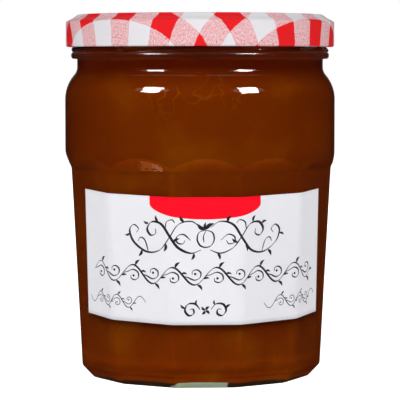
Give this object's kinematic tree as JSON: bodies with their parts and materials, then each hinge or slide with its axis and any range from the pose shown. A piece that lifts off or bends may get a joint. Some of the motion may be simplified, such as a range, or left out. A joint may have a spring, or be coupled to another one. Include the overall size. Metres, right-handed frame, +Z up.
{
  "type": "jam jar",
  "caption": "Faceted clear glass jar filled with apricot jam, with a gingham twist-off metal lid and a folded paper front label.",
  "frame": {"origin": "middle of the jar's base, on the surface it stands on", "axes": "+Z up along the jar's axis, the labelled front faces -Y"},
  "size_m": [0.0868, 0.0868, 0.1159],
  "materials": {
    "glass": "clear flint glass, glossy, with a faint green cast in the base",
    "jam": "dark amber set jam with soft fruit pieces; stands in for food",
    "lid": "satin lacquered tinplate printed with red and white gingham",
    "paper": "matte white label paper with a plain red tab and pen ornament"
  },
  "bodies": {
    "root": {"jar_glass": "glass", "jam": "jam", "lid": "lid", "label": "paper"}
  },
  "joints": []
}
